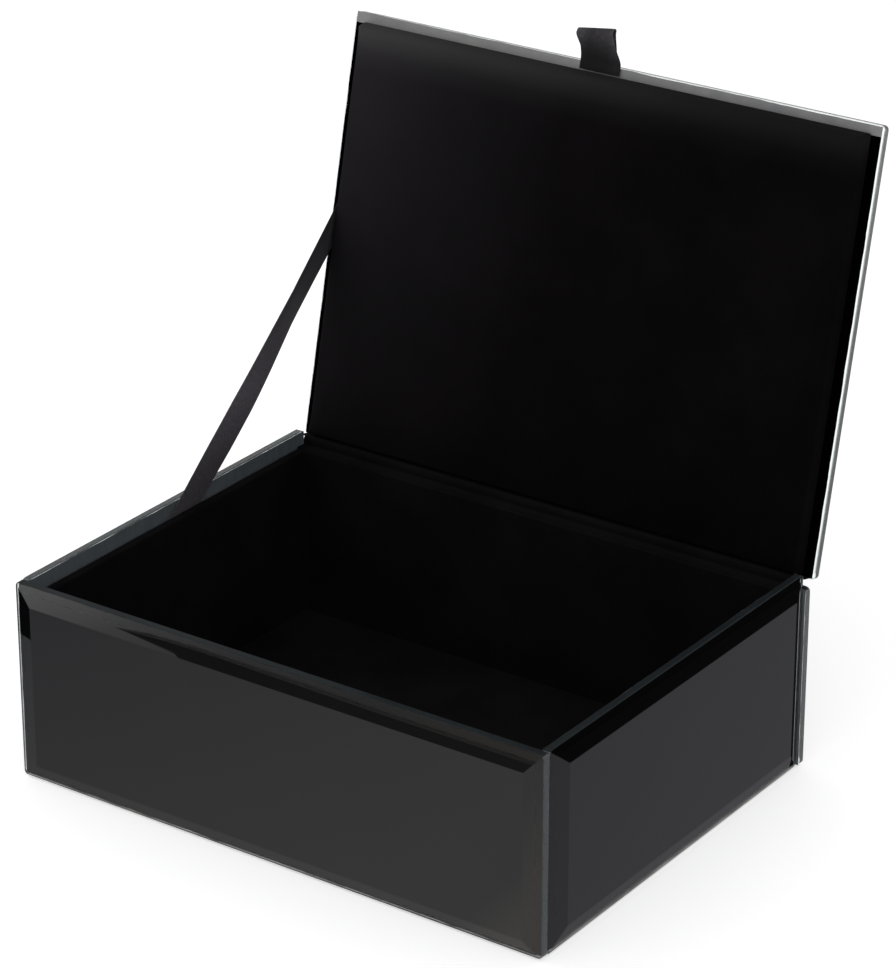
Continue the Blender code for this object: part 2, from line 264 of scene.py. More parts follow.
def satin(name, dark, light, gloss, across, painted_shading_up):
    """Satin ribbon: fine ribs; painted light and shade in its colour, changing from left to right and from its
    foot up.
    """
    made, shader, tree = shader_material(name)
    settings(shader, Roughness=0.42, Specular_IOR_Level=gloss, Sheen_Weight=0.1, Sheen_Roughness=0.35,
             Anisotropic=0.5)
    vector = coordinates(tree, source="UV")
    ribs = tree.nodes.new("ShaderNodeTexWave")
    ribs.wave_type = "BANDS"
    ribs.bands_direction = "Y"
    ribs.inputs["Scale"].default_value = 900
    ribs.inputs["Distortion"].default_value = 1.5
    ribs.inputs["Detail"].default_value = 2
    tree.links.new(vector, ribs.inputs["Vector"])
    weave = noise_value(tree, coordinates(tree, (5, 1, 1), "UV"), 700, 2)
    colour = ramp(tree, weave, [(0.3, dark), (0.7, light)])
    separate = tree.nodes.new("ShaderNodeSeparateXYZ")
    tree.links.new(coordinates(tree, source="Generated"), separate.inputs[0])
    # Painted light and shade: the colour is multiplied by a ramp across the ribbon and a ramp up it
    colour = mixed(tree, "MULTIPLY", colour, ramp(tree, separate.outputs["X"], across))
    colour = mixed(tree, "MULTIPLY", colour, ramp(tree, separate.outputs["Z"], painted_shading_up))
    tree.links.new(colour, shader.inputs["Base Color"])
    first = bump(tree, shader, ribs.outputs["Fac"], 0.35, 0.06 * MM)
    bump(tree, shader, weave, 0.4, 0.08 * MM, first)
    return made


def board_grain():
    """Pressed grey-brown board."""
    made, shader, tree = shader_material("pressed_board")
    settings(shader, Roughness=0.88, Specular_IOR_Level=0.2)
    fibres = noise_value(tree, coordinates(tree, (1, 1, 3)), 420, 5, 0.65)
    tree.links.new(ramp(tree, fibres, [(0.3, (0.16, 0.12, 0.085)), (0.7, (0.33, 0.26, 0.19))]),
                   shader.inputs["Base Color"])
    bump(tree, shader, fibres, 0.4, 0.2 * MM)
    return made


def felt_fibres():
    """Black pressed felt under the box."""
    made, shader, tree = shader_material("black_felt")
    settings(shader, Roughness=0.98, Specular_IOR_Level=0.05, Sheen_Weight=0.3, Sheen_Roughness=0.6)
    fibres = noise_value(tree, coordinates(tree), 900, 6, 0.75)
    tree.links.new(ramp(tree, fibres, [(0.3, 0.006), (0.75, 0.028)]), shader.inputs["Base Color"])
    bump(tree, shader, fibres, 0.7, 0.25 * MM)
    return made


def foam_cells():
    """Open-celled foam sheet."""
    made, shader, tree = shader_material("foam_sheet")
    settings(shader, Roughness=0.9)
    cells = tree.nodes.new("ShaderNodeTexVoronoi")
    cells.inputs["Scale"].default_value = 1400
    tree.links.new(coordinates(tree), cells.inputs["Vector"])
    stops = [(0.0, (0.3, 0.3, 0.28)), (0.6, (0.62, 0.61, 0.58))]
    tree.links.new(ramp(tree, cells.outputs["Distance"], stops), shader.inputs["Base Color"])
    bump(tree, shader, cells.outputs["Distance"], 0.6, 0.2 * MM)
    return made


# ---------------------------------------------------------------- mesh helpers

def new_piece(name, bm, *materials, smooth_below=30):
    """Put a bmesh into the scene as one piece."""
    bmesh.ops.recalc_face_normals(bm, faces=bm.faces)
    mesh = bpy.data.meshes.new(name)
    bm.to_mesh(mesh)
    bm.free()
    mesh.shade_smooth()
    if smooth_below:
        mesh.set_sharp_from_angle(angle=math.radians(smooth_below))
    for made in materials:
        mesh.materials.append(made)
    piece = bpy.data.objects.new(name, mesh)
    bpy.context.scene.collection.objects.link(piece)
    return piece


def rounded_rectangle(low, high, radius, steps=ARC_STEPS):
    """Outline points from the lower right corner's arc on, anticlockwise."""
    centres = [(high[0], low[1]), (high[0], high[1]), (low[0], high[1]), (low[0], low[1])]
    points = []
    for corner, (x, y) in enumerate(centres):
        cx = x - radius if x == high[0] else x + radius
        cy = y - radius if y == high[1] else y + radius
        for step in range(steps + 1):
            angle = math.radians(90) * (corner - 1 + step / steps)
            points.append((cx + radius * math.cos(angle), cy + radius * math.sin(angle)))
    return points


def bridge(bm, lower, upper, material_index=CLEAR):
    """Join two rings of as many vertices each."""
    count = len(lower)
    for index in range(count):
        after = (index + 1) % count
        face = bm.faces.new((lower[index], lower[after], upper[after], upper[index]))
        face.material_index = material_index


def set_place(piece, matrix, body):
    """Bake a matrix into a piece's mesh and let it ride on a body."""
    piece.data.transform(matrix)
    piece.data.update()
    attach(piece, body)


# ---------------------------------------------------------------- glass

def panel_mesh(name, width, height, bevels, finishes_and_edge_shades):
    """Panel in its own XY plane: flat inner face at z = 0, bevelled outer face towards +Z.

    bevels gives the left, right, bottom and top bevel's width in mm. The paint shows as black gloss
    except near the edges, where the eye sees into the glass. The materials are clear glass, ground edge,
    black gloss, and ground glass painted darker at the top and at the right edges, as painted shade.
    """
    half = (width / 2, height / 2)
    left, right, bottom, top = [bevel * MM for bevel in bevels]

    def bevel_level(x, y):
        """Height of the bevelled face above a point."""
        shares = ((half[0] + x) / left, (half[0] - x) / right, (half[1] + y) / bottom, (half[1] - y) / top)
        return RIM + BEVEL_DEPTH * min(shares)

    def ring(inset, level):
        """Vertices round the panel at an inset, each at its own level."""
        low = (-half[0] + inset, -half[1] + inset)
        high = (half[0] - inset, half[1] - inset)
        return [bm.verts.new((x, y, level(x, y)))
                for x, y in rounded_rectangle(low, high, CORNER_RADIUS - inset)]

    def corners_at(share):
        """Corners of the rectangle that lies a share of the way up the bevels."""
        corners = [(half[0] - right * share, -half[1] + bottom * share),
                   (half[0] - right * share, half[1] - top * share),
                   (-half[0] + left * share, half[1] - top * share),
                   (-half[0] + left * share, -half[1] + bottom * share)]
        return [bm.verts.new((x, y, RIM + BEVEL_DEPTH * share)) for x, y in corners]

    bm = bmesh.new()
    inner = ring(ARRIS, lambda x, y: 0)
    rim_low = ring(0, lambda x, y: ARRIS)
    rim_high = ring(0, lambda x, y: bevel_level(x, y) - ARRIS)
    slope = ring(ARRIS, bevel_level)
    for lower, upper in ((inner, rim_low), (rim_low, rim_high), (rim_high, slope)):
        bridge(bm, lower, upper, material_index=GROUND)
    side_depth = CORNER_RADIUS / 3
    # Top and right edge faces get their own slots, for ground glass painted darker as painted shade
    for face in bm.faces:
        place = face.calc_center_median()
        if place.y > half[1] - side_depth:
            face.material_index = TOP_EDGE
        elif place.x > half[0] - side_depth:
            face.material_index = RIGHT_EDGE
    bm.faces.new(inner[::-1])
    clear_end = corners_at(CLEAR_SHARE)
    middle = corners_at(1)
    bridge(bm, clear_end, middle, material_index=GLOSS)
    bm.faces.new(middle).material_index = GLOSS
    per_corner = ARC_STEPS + 1
    for corner in range(4):
        after = (corner + 1) % 4
        own_arc = slope[corner * per_corner + ARC_STEPS // 2:(corner + 1) * per_corner]
        next_arc = slope[after * per_corner:after * per_corner + ARC_STEPS // 2 + 1]
        bm.faces.new(own_arc + next_arc + [clear_end[after], clear_end[corner]])
    bmesh.ops.recalc_face_normals(bm, faces=bm.faces)
    for edge in bm.edges:
        polished = all(face.material_index in (CLEAR, GLOSS) for face in edge.link_faces)
        limit = POLISHED_SMOOTH_BELOW if polished else GROUND_SMOOTH_BELOW
        edge.smooth = edge.calc_face_angle(0) < math.radians(limit)
    return new_piece(name, bm, *finishes_and_edge_shades, smooth_below=0)


def film_mesh(name, left, fronts, right, back, levels, made, waver, seed=0):
    """Thin film between two levels; its edge wavers by a length; fronts is y at the front's two ends."""
    corners = [(right, fronts[1]), (right, back), (left, back), (left, fronts[0])]
    inward = [(-1, 0), (0, -1), (1, 0), (0, 1)]
    long_waves, short_waves = FILM_WAVES
    outline = []
    for corner, start in enumerate(corners):
        end = corners[(corner + 1) % 4]
        count = max(2, int(math.dist(start, end) / FILM_STEP))
        for index in range(count):
            x = start[0] + (end[0] - start[0]) * index / count
            y = start[1] + (end[1] - start[1]) * index / count
            wave = noise.noise(Vector((x * long_waves, y * long_waves, seed)))
            wave += 0.5 * noise.noise(Vector((x * short_waves, y * short_waves, seed)))
            fade = min(1, FILM_FADE * index / count, FILM_FADE * (count - index) / count)
            shift = waver * wave * fade
            outline.append((x + inward[corner][0] * shift, y + inward[corner][1] * shift))
    bm = bmesh.new()
    rings = [[bm.verts.new((x, y, level)) for x, y in outline] for level in levels]
    bridge(bm, *rings)
    bm.faces.new(rings[0][::-1])
    bm.faces.new(rings[1])
    bmesh.ops.triangulate(bm, faces=[face for face in bm.faces if len(face.verts) > 4])
    return new_piece(name, bm, made)


def standing(outward, centre):
    """Matrix that turns a panel's outer face to a level direction about its inner face's middle."""
    across = Vector((0, 0, 1)).cross(outward)
    turn = Matrix((across, Vector((0, 0, 1)), outward)).transposed()
    return Matrix.Translation(centre) @ turn.to_4x4()


# Each panel's outward direction and its left, right, bottom and top bevel in mm, seen from outside
WALLS = {
    "front_glass": ((0, -1, 0), (6.3, 6.7, 4.9, 7.3)),
    "back_glass": ((0, 1, 0), (6.5, 7.0, 6.0, 6.8)),
    "left_glass": ((-1, 0, 0), (6.8, 7.4, 5.6, 7.2)),
    "right_glass": ((1, 0, 0), (9.6, 5.2, 6.0, 7.7)),
}
LID_BEVELS = (7.0, 7.4, 6.6, 7.2)


def build_glass(finishes_and_edge_shades, paint, lid_coat, wall_coat):
    """The four walls and the lid's plate, each with its film of paint and the coat behind that."""
    film = (PAINT_DEPTH, PAINT_DEPTH + PAINT_THICKNESS)
    for seed, (node, (direction, bevels)) in enumerate(WALLS.items()):
        outward = Vector(direction)
        low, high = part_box(node)
        size = high - low
        across = size.x if outward.y else size.y
        centre = (low + high) / 2
        thickness = size.y if outward.y else size.x
        place = standing(outward, centre - outward * thickness / 2)
        panel = panel_mesh(node + "_panel", across, size.z, bevels, finishes_and_edge_shades[node])
        films = []
        for ending, margin, levels, made in (("_paint", PAINT_MARGIN, film, paint),
                                             ("_coat", WALL_COAT_MARGIN, GREY_COAT_LEVELS, wall_coat)):
            x = across / 2 - margin
            y = size.z / 2 - margin
            films.append(film_mesh(node + ending, -x, (-y, -y), x, y, levels, made, PAINT_WAVER, seed))
        for piece in [panel, *films]:
            set_place(piece, place, "box")
        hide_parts(node)
    low, high = closed_box("lid_glass")
    size = high - low
    place = OPENED @ Matrix.Translation(((low.x + high.x) / 2, (low.y + high.y) / 2, low.z))
    panel = panel_mesh("lid_glass_panel", size.x, size.y, LID_BEVELS, finishes_and_edge_shades["lid_glass"])
    left = -size.x / 2 + PAINT_MARGIN
    right = size.x / 2 - LID_RIGHT_MARGIN
    y = size.y / 2 - PAINT_MARGIN
    front = [-size.y / 2 + margin for margin in LID_FRONT_MARGINS]
    border = closed_box("lid_cover")[0].y - (low.y + high.y) / 2 + GREY_UNDER_PAD
    films = [
        film_mesh("lid_glass_paint", left, front, right, y, film, paint, LID_WAVER),
        film_mesh("lid_back_coat", left, front, right, y, BACK_COAT_LEVELS, paint, LID_WAVER),
        film_mesh("lid_grey_coat", left, front, right, border, GREY_COAT_LEVELS, lid_coat, LID_WAVER),
    ]
    for piece in [panel, *films]:
        set_place(piece, place, "lid")
    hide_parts("lid_glass")


# ---------------------------------------------------------------- lining

LINING_PIECES = 24            # along each straight run of the ring
LINING_SHORTEST = 18 * MM     # runs below this length aren't cut
LINING_CORNER = 0.8 * MM
LINING_ROUND = 0.9 * MM       # radius over the walls' tops
LINING_ROUND_STEPS = 5
LINING_OFF_GLASS = 0.25 * MM
LINING_SWAY = 0.12 * MM
LINING_SWAY_WAVES = 60        # per metre
CARD_RADIUS = 0.4 * MM
CARD_GRID = 6 * MM
CARD_DIP = 0.12 * MM
CARD_DIP_WAVES = 45


def build_wall_lining(made):
    """Velvet over the four walls in one ring, rounded over their tops."""
    left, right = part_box("left_lining"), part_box("right_lining")
    front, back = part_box("front_lining"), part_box("back_lining")
    outer_low = (left[0].x + LINING_OFF_GLASS, front[0].y + LINING_OFF_GLASS)
    outer_high = (right[1].x - LINING_OFF_GLASS, back[1].y - LINING_OFF_GLASS)
    inner_low = (left[1].x, front[1].y)
    inner_high = (right[0].x, back[0].y)
    top = left[1].z
    floor = left[0].z
    shoulder = top - LINING_ROUND
    quarter = [math.radians(90) * step / LINING_ROUND_STEPS for step in range(LINING_ROUND_STEPS + 1)]
    profile = []   # share of the lining's thickness, height, shift inwards
    for angle in quarter:
        shift = LINING_ROUND * (1 - math.cos(angle))
        profile.append((0.0, shoulder + LINING_ROUND * math.sin(angle), shift))
    for angle in quarter:
        shift = -LINING_ROUND * (1 - math.sin(angle))
        profile.append((1.0, shoulder + LINING_ROUND * math.cos(angle), shift))
    for level in (0.8, 0.6, 0.4, 0.2, 0.0):
        profile.append((1.0, floor + (shoulder - floor) * level, 0.0))
    bm = bmesh.new()
    rings = []
    for share, z, shift in profile:
        low = [outer + (inner - outer) * share + shift for outer, inner in zip(outer_low, inner_low)]
        high = [outer + (inner - outer) * share - shift for outer, inner in zip(outer_high, inner_high)]
        outline = rounded_rectangle(low, high, LINING_CORNER, steps=4)
        rings.append([bm.verts.new((x, y, z)) for x, y in subdivided(outline, LINING_SHORTEST)])
    for lower, upper in zip(rings, rings[1:]):
        bridge(bm, lower, upper)
    piece = new_piece("wall_lining", bm, made, smooth_below=60)
    for vert in piece.data.vertices:
        if vert.co.z > shoulder:
            vert.co.z += LINING_SWAY * noise.noise(vert.co * LINING_SWAY_WAVES)
    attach(piece, "box")
    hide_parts("left_lining", "right_lining", "front_lining", "back_lining")


def subdivided(outline, shortest):
    """The outline with its straight runs cut into equal pieces, as many on each ring."""
    points = []
    for index, point in enumerate(outline):
        after = outline[(index + 1) % len(outline)]
        pieces = LINING_PIECES if math.dist(point, after) > shortest else 1
        for part in range(pieces):
            share = part / pieces
            points.append([start + (end - start) * share for start, end in zip(point, after)])
    return points


def graded(low, high, fine, coarse):
    """Places from low to high: closely set near both ends, evenly between."""
    count = max(1, round((high - low - 2 * fine) / coarse))
    ends = [0, 0.35 * fine, 0.7 * fine]
    middle = [low + fine + (high - low - 2 * fine) * index / count for index in range(count + 1)]
    return [low + end for end in ends] + middle + [high - end for end in reversed(ends)]


def rounded_slab(name, low, high, radius, coarse, *materials):
    """Slab with rounded edges and an even grid over all its faces."""
    places = [graded(low[axis], high[axis], radius, coarse) for axis in range(3)]
    last = [len(place) - 1 for place in places]
    inner_low = Vector(low) + Vector((radius, radius, radius))
    inner_high = Vector(high) - Vector((radius, radius, radius))
    bm = bmesh.new()
    made = {}

    def vert(index):
        """The grid's vertex at an index, drawn in onto the rounding."""
        if index not in made:
            point = Vector([places[axis][index[axis]] for axis in range(3)])
            core = Vector([min(max(point[axis], inner_low[axis]), inner_high[axis]) for axis in range(3)])
            made[index] = bm.verts.new(core + (point - core).normalized() * radius)
        return made[index]

    for axis in range(3):
        first, second = [other for other in range(3) if other != axis]
        for side in (0, last[axis]):
            for i in range(last[first]):
                for j in range(last[second]):
                    corners = []
                    for di, dj in ((0, 0), (1, 0), (1, 1), (0, 1)):
                        index = [0, 0, 0]
                        index[axis], index[first], index[second] = side, i + di, j + dj
                        corners.append(vert(tuple(index)))
                    bm.faces.new(corners)
    return new_piece(name, bm, *materials, smooth_below=80)


def build_floor_lining(made):
    """Velvet-covered card on the floor."""
    low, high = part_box("floor_lining")
    piece = rounded_slab("floor_card", low, high, CARD_RADIUS, CARD_GRID, made)
    for vert in piece.data.vertices:
        if vert.co.z > high.z - CARD_RADIUS / 4:
            vert.co.z -= CARD_DIP * (0.5 + 0.5 * noise.noise(vert.co * CARD_DIP_WAVES))
    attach(piece, "box")
    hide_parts("floor_lining")


# ---------------------------------------------------------------- lid's pad

PAD_LIMIT_X = 97.0 * MM       # just inside the walls' glass
PAD_LIMIT_FRONT = 0.25 * MM   # past the solid pad's edge
PAD_LIMIT_FACE = 0.2 * MM     # below the solid pad's face, over the walls' lining
PAD_RADIUS = 0.9 * MM
PAD_GRID = 3.5 * MM
PAD_PRESSURE = 4
PAD_PINNED = 1.0 * MM         # depth of the part that is held against the plate
PAD_MOVE_CAP = 1.0 * MM
PAD_FRAMES = 20
PAD_MARGIN = 4 * MM           # flat rim round the crown
PAD_RIPPLE = 0.1 * MM
PAD_RIPPLE_WAVES = 55         # per metre
CROWN = 0.5 * MM
CROWN_RISE = 3                # how steeply it rises from its rim
FOAM_SHRINK = Vector((0.5, 0.5, 0.3)) * MM
FOAM_RADIUS = 1.0 * MM
FOAM_GRID = 8 * MM


def build_pad(made, foam):
    """Velvet panel of the lid, swollen by a cloth simulation, over its foam."""
    low, high = closed_box("lid_cover")
    piece = rounded_slab("lid_pad", low, high, PAD_RADIUS, PAD_GRID, made)
    bpy.context.view_layer.objects.active = piece
    swell(piece, high.z)
    inside = (high.x - PAD_MARGIN, (high.y - low.y) / 2 - PAD_MARGIN)
    for vert in piece.data.vertices:
        co = vert.co
        across = max(0, 1 - (co.x / inside[0]) ** 2)
        along = max(0, 1 - ((co.y - (low.y + high.y) / 2) / inside[1]) ** 2)
        crown = CROWN * min(1, CROWN_RISE * across) * min(1, CROWN_RISE * along)
        lowest = low.z - PAD_LIMIT_FACE - crown
        co.x = min(max(co.x, -PAD_LIMIT_X), PAD_LIMIT_X)
        co.y = min(max(co.y, low.y - PAD_LIMIT_FRONT), high.y + PAD_LIMIT_FRONT)
        if co.z < low.z + PAD_RADIUS:
            co.z += PAD_RIPPLE * noise.noise(co * PAD_RIPPLE_WAVES) * across * along
        co.z = max(co.z, lowest)
    subdivide = piece.modifiers.new("subdivide", "SUBSURF")
    subdivide.levels = 1
    subdivide.render_levels = 1
    bpy.ops.object.modifier_apply(modifier=subdivide.name)
    piece.data.shade_smooth()
    set_place(piece, OPENED, "lid")
    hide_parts("lid_cover")
    low, high = closed_box("lid_foam")
    low += FOAM_SHRINK
    high -= FOAM_SHRINK
    filling = rounded_slab("lid_filling", low, high, FOAM_RADIUS, FOAM_GRID, foam)
    set_place(filling, OPENED, "lid")
    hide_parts("lid_foam")


def swell(piece, plate_level):
    """Cloth simulation with inner pressure; the side against the plate is pinned."""
    start = np.array([vert.co for vert in piece.data.vertices])
    pins = piece.vertex_groups.new(name="pins")
    held = [index for index, co in enumerate(start) if co[2] > plate_level - PAD_PINNED]
    pins.add(held, 1.0, "REPLACE")
    cloth = piece.modifiers.new("cloth", "CLOTH")
    cloth.settings.effector_weights.gravity = 0
    cloth.settings.vertex_group_mass = "pins"
    cloth.settings.use_pressure = True
    cloth.settings.uniform_pressure_force = PAD_PRESSURE
    cloth.settings.quality = 5
    cloth.point_cache.frame_start = 1
    cloth.point_cache.frame_end = PAD_FRAMES
    scene = bpy.context.scene
    for step in range(1, PAD_FRAMES + 1):
        scene.frame_set(step)
    evaluated = piece.evaluated_get(bpy.context.evaluated_depsgraph_get())
    swollen = np.array([vert.co for vert in evaluated.data.vertices])
    piece.modifiers.remove(cloth)
    scene.frame_set(1)
    move = swollen - start
    length = np.linalg.norm(move, axis=1, keepdims=True)
    move *= np.minimum(1, PAD_MOVE_CAP / np.maximum(length, 1e-9))
    print("pad moved mm: mean", length.mean() / MM, "max", length.max() / MM)
    piece.data.vertices.foreach_set("co", (start + move).astype(np.float32).ravel())
    piece.data.update()


# ---------------------------------------------------------------- ribbons and hinge cloth

EDGE_THINNING = 0.45          # share of its thickness that a ribbon loses at its edges
EDGE_SHARPNESS = 8            # power by which it gets thinner


def ribbon_mesh(name, path, across, width, thickness, made, columns=6, skews=None):
    """Closed flat strip along a path; across gives its width's direction and share at each point.

    skews shifts a row's ends: by that vector at one edge for each length of the row's offset.
    """
    bm = bmesh.new()
    uv_layer = bm.loops.layers.uv.new("UVMap")
    count = len(path)
    lengths = [0.0]
    for before, after in zip(path, path[1:]):
        lengths.append(lengths[-1] + (after - before).length)
    grids = []
    for side in (1, -1):
        grid = []
        for index, point in enumerate(path):
            along = path[min(index + 1, count - 1)] - path[max(index - 1, 0)]
            spread = across[index]
            normal = along.cross(spread).normalized()
            skew = skews[index] if skews else Vector()
            row = []
            for column in range(columns + 1):
                share = column / columns - 0.5
                edge = 1 - EDGE_THINNING * (abs(share) * 2) ** EDGE_SHARPNESS
                place = point + (spread + skew) * width * share
                row.append(bm.verts.new(place + normal * side * edge * thickness / 2))
            grid.append(row)
        grids.append(grid)

    def quad(corners, places):
        """Face with its flat layout in metres, from each corner's row and column."""
        face = bm.faces.new(corners)
        for loop, (row, column) in zip(face.loops, places):
            loop[uv_layer].uv = (width * column / columns, lengths[row])

    for grid in grids:
        for row in range(count - 1):
            for column in range(columns):
                places = [(row, column), (row, column + 1), (row + 1, column + 1), (row + 1, column)]
                quad([grid[r][c] for r, c in places], places)
    top, bottom = grids
    edges = [((row, column), (row + 1, column)) for column in (0, columns) for row in range(count - 1)]
    edges += [((row, column), (row, column + 1)) for row in (0, count - 1) for column in range(columns)]
    for (row, column), (next_row, next_column) in edges:
        near = [top[row][column], bottom[row][column]]
        far = [bottom[next_row][next_column], top[next_row][next_column]]
        quad(near + far, [(row, column)] * 2 + [(next_row, next_column)] * 2)
    return new_piece(name, bm, made, smooth_below=50), lengths[-1]


def smooth_steps(points, steps):
    """Catmull-Rom curve through points, with a number of steps on each stretch."""
    curve = []
    padded = [points[0] * 2 - points[1]] + points + [points[-1] * 2 - points[-2]]
    for index in range(1, len(padded) - 2):
        p0, p1, p2, p3 = padded[index - 1:index + 3]
        for step in range(steps):
            t = step / steps
            curve.append(0.5 * (2 * p1 + (p2 - p0) * t + (2 * p0 - 5 * p1 + 4 * p2 - p3) * t * t
                                + (3 * p1 - p0 - 3 * p2 + p3) * t ** 3))
    return curve + [points[-1]]


STAY_WIDTH = 11.8 * MM
STAY_THICKNESS = 0.35 * MM
STAY_FOOT_LENGTH = 3 * MM     # below the solid ribbon's foot, between the left wall's glass and lining
STAY_HEAD_CUT = 0.3 * MM      # short of the solid ribbon's head
STAY_STEPS = 14               # on each stretch of its path
STAY_BOW = [(0.25, 0.7), (0.45, 0.9), (0.72, 0.3)]     # share of its length, mm inwards
STAY_TURN = [(0.0, 3), (0.2, 0), (0.35, 1), (0.5, 6), (0.68, 13), (0.85, 12), (1.0, 10)]   # share, degrees
# Painted light and shade up the stay: its colour's brightness from the foot to the head
STAY_PAINTED_SHADING_UP = [(0.0, 0.55), (0.15, 0.58), (0.38, 1.0), (0.55, 0.75), (0.75, 0.34), (0.94, 0.1)]


def build_stay(made):
    """Ribbon stay with a slight turn; its foot is cut level and its head along the lid's plate."""
    verts = [vert.co.copy() for vert in frame["nodes"]["stay_ribbon"].data.vertices]
    low_z = min(co.z for co in verts)
    high_z = max((CLOSED @ co).z for co in verts)
    near = 0.1 * MM
    foot_points = [co for co in verts if co.z < low_z + near]
    head_points = [co for co in verts if (CLOSED @ co).z > high_z - near]
    foot = sum(foot_points, Vector()) / len(foot_points)
    head = sum(head_points, Vector()) / len(head_points)
    axis = (head - foot).normalized()
    length = (head - foot).length
    side = Vector((0, -axis.z, axis.y))
    plate_normal = OPENED.to_3x3() @ Vector((0, 0, 1))
    foot_skew = -side.z / axis.z
    head_skew = -side.dot(plate_normal) / axis.dot(plate_normal)
    points = [foot - axis * STAY_FOOT_LENGTH, foot]
    points += [foot.lerp(head, share) + Vector((bow * MM, 0, 0)) for share, bow in STAY_BOW]
    points.append(head - axis * STAY_HEAD_CUT)
    path = smooth_steps(points, STAY_STEPS)
    across = []
    skews = []
    for point in path:
        share = (point - foot).dot(axis) / length
        turn = np.interp(share, *zip(*STAY_TURN))
        across.append(Matrix.Rotation(math.radians(turn), 3, axis) @ side)
        skews.append(axis * (foot_skew + (head_skew - foot_skew) * min(max(share, 0), 1)))
    piece, flat_length = ribbon_mesh("stay", path, across, STAY_WIDTH, STAY_THICKNESS, made, skews=skews)
    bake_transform(piece)
    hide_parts("stay_ribbon")


TAB_WIDTH = 13.8 * MM
TAB_THICKNESS = 0.28 * MM
TAB_GAP = 0.08 * MM           # between its strands, and to the plate
TAB_SMOOTH_STEPS = 6          # on each stretch of its path
HALF_LOOP = 0.9 * MM
TAB_TURN = 8                  # degrees by which the loop's top is turned
# Painted light and shade on the tab: its colour's brightness from left to right and from its foot up
TAB_PAINTED_SHADING = [(0.05, 0.7), (0.3, 0.28), (0.7, 0.45), (0.9, 1.0)]   # from left to right
TAB_PAINTED_SHADING_UP = [(0.3, 0.1), (0.6, 0.4), (0.85, 1.0), (1.0, 1.0)]
BACK_SHIFT = 0.0              # mm to the right, where each strand leaves the plate
FRONT_SHIFT = 1.6
TOP_SHIFT = -2.2              # of the loop's top


def build_tab(made):
    """Pull tab: a loop of satin ribbon that leans a little to the left, its strands spread apart."""
    low, high = closed_box("pull_tab")
    plate = closed_box("lid_glass")[0]
    middle_x = (low.x + high.x) / 2
    upper = plate.z - TAB_THICKNESS / 2 - TAB_GAP
    lower = upper - TAB_THICKNESS - TAB_GAP
    middle = (upper + lower) / 2
    root = high.y
    flat = plate.y - 1.2 * MM
    reach = low.y + TAB_THICKNESS
    stations = [   # y, z, shift, share of the turn
        (root, upper, BACK_SHIFT, 0),
        (flat, upper, BACK_SHIFT, 0),
        (flat - 3 * MM, upper + 0.5 * MM, 0.6 * BACK_SHIFT + 0.4 * TOP_SHIFT, 0.3),
        (reach + 2.2 * MM, middle + HALF_LOOP, TOP_SHIFT, 0.9),
        (reach + 0.6 * MM, middle + 0.9 * HALF_LOOP, TOP_SHIFT, 1),
        (reach, middle, TOP_SHIFT, 1),
        (reach + 0.6 * MM, middle - 0.9 * HALF_LOOP, TOP_SHIFT, 1),
        (reach + 2.2 * MM, middle - HALF_LOOP, TOP_SHIFT, 0.9),
        (flat - 4 * MM, lower - 0.6 * MM, 0.5 * FRONT_SHIFT + 0.5 * TOP_SHIFT, 0.2),
        (flat, lower, FRONT_SHIFT, 0),
        (root, lower, FRONT_SHIFT, 0),
    ]
    points = [Vector((middle_x + shift * MM, y, z)) for y, z, shift, _ in stations]
    path = smooth_steps(points, TAB_SMOOTH_STEPS)
    turns = smooth_steps([Vector((turn, 0, 0)) for *_, turn in stations], TAB_SMOOTH_STEPS)
    across = []
    for turn in turns:
        angle = math.radians(TAB_TURN) * turn.x
        across.append(Vector((math.cos(angle), -math.sin(angle), 0)))
    piece, length = ribbon_mesh("tab", path, across, TAB_WIDTH, TAB_THICKNESS, made, columns=8)
    set_place(piece, OPENED, "lid")
    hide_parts("pull_tab")


HINGE_HALF_WIDTH = 96.9 * MM    # between the side walls
HINGE_REAR_HALF = 99.2 * MM     # behind them
HINGE_THICKNESS = 0.3 * MM
HINGE_GAP = 0.3 * MM            # to the pad's back, and from its bend to the pad's face
HINGE_OFF_BACK = 0.9 * MM       # in front of the back wall's glass
HINGE_WIDENING = 1.0 * MM       # length over which it widens behind the side walls


def build_hinge_cloth(made):
    """Velvet strip from the back wall's top to the back of the pad."""
    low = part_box("hinge_cloth")[0]
    pad = closed_box("lid_cover")
    plate = closed_box("lid_glass")[0]
    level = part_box("left_lining")[1].z
    behind = pad[1].y + HINGE_GAP + HINGE_THICKNESS / 2
    bend = OPENED @ Vector((0, behind, pad[0].z + HINGE_GAP))
    end = OPENED @ Vector((0, behind, plate.z - HINGE_GAP))
    start = Vector((0, low.y, level))
    front = Vector((0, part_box("back_glass")[0].y - HINGE_OFF_BACK, level))
    sag = front.lerp(bend, 0.55) + Vector((0, -0.3 * MM, 0))
    points = [start, start.lerp(front, 0.5), front, sag, bend, bend.lerp(end, 0.5), end]
    path = smooth_steps(points, 5)
    width = 2 * HINGE_HALF_WIDTH
    behind_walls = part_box("left_glass")[1].y + 0.2 * MM
    across = []
    for point in path:
        wider = min(max((point.y - behind_walls) / HINGE_WIDENING, 0), 1)
        across.append(Vector((1 + wider * (HINGE_REAR_HALF / HINGE_HALF_WIDTH - 1), 0, 0)))
    piece, length = ribbon_mesh("hinge_strip", path, across, width, HINGE_THICKNESS, made, columns=40)
    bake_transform(piece)
    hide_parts("hinge_cloth")


# ---------------------------------------------------------------- camera, light and floor

CAMERA_PLACE = (0.6624, -0.9255, 0.6183)
CAMERA_AZIMUTH = 35.2
CAMERA_ELEVATION = 24.7
CAMERA_LENS = 149.3
CAMERA_SHIFT = (0.0105, 0.0185)

